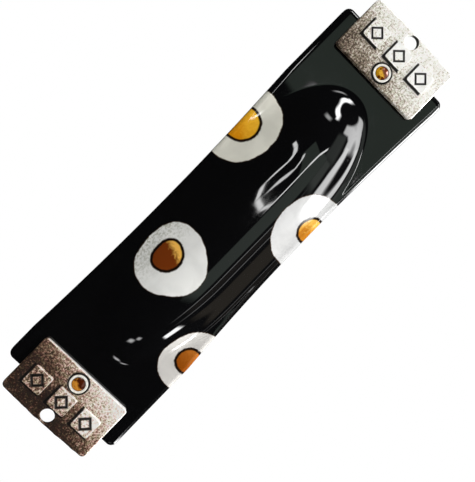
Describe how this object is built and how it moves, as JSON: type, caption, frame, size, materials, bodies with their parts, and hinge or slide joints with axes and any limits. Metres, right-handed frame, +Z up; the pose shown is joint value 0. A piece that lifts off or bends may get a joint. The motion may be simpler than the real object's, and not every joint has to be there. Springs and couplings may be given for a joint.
{
  "type": "mezuzah case",
  "caption": "Fused black glass mezuzah case with round inlays, cast metal end plates with crystals and nail holes, and a covered scroll channel in the back.",
  "frame": {"origin": "centre of the flat back face of the glass, where it lies against a doorpost", "axes": "+Z up along the case, +X to the right as seen from the front, -Y out of the doorpost towards the viewer"},
  "size_m": [0.0414, 0.014, 0.1578],
  "materials": {
    "black_glass": "glossy, kiln-formed, opaque",
    "white_glass": "glossy, opaque white with faint mottling",
    "amber_glass": "glossy amber with golden streaks",
    "adhesive": "satin",
    "antique_pewter": "cast tin alloy with an antique patina, raised faces rubbed bright",
    "bright_pewter": "polished",
    "amber_crystal": "faceted crystal",
    "cover_plastic": "matte",
    "parchment": "parchment",
    "sleeve_film": "clear film"
  },
  "bodies": {
    "case": {"glass_panel": "black_glass", "white_disc_upper_left": "white_glass", "white_disc_middle": "white_glass", "white_disc_right": "white_glass", "white_disc_lower_right": "white_glass", "amber_disc_upper_left": "amber_glass", "amber_disc_middle": "amber_glass", "amber_disc_right": "amber_glass", "amber_disc_lower_right": "amber_glass", "upper_adhesive_bed": "adhesive", "upper_end_plate": "antique_pewter", "upper_bezel": "bright_pewter", "upper_gem": "amber_crystal", "lower_adhesive_bed": "adhesive", "lower_end_plate": "antique_pewter", "lower_bezel": "bright_pewter", "lower_gem": "amber_crystal"},
    "back_cover": {"back_cover": "cover_plastic"},
    "scroll": {"scroll": "parchment", "scroll_sleeve": "sleeve_film"}
  },
  "joints": [
    {"name": "cover_off", "type": "slide", "parent": "case", "child": "back_cover", "axis": [0, 1, 0], "range_m": [0, 0.04]},
    {"name": "scroll_out", "type": "slide", "parent": "case", "child": "scroll", "axis": [0, 1, 0], "range_m": [0, 0.022]}
  ],
  "couplings": [
    {"joint": "scroll_out", "follows": "cover_off", "ratio": 0.55}
  ]
}
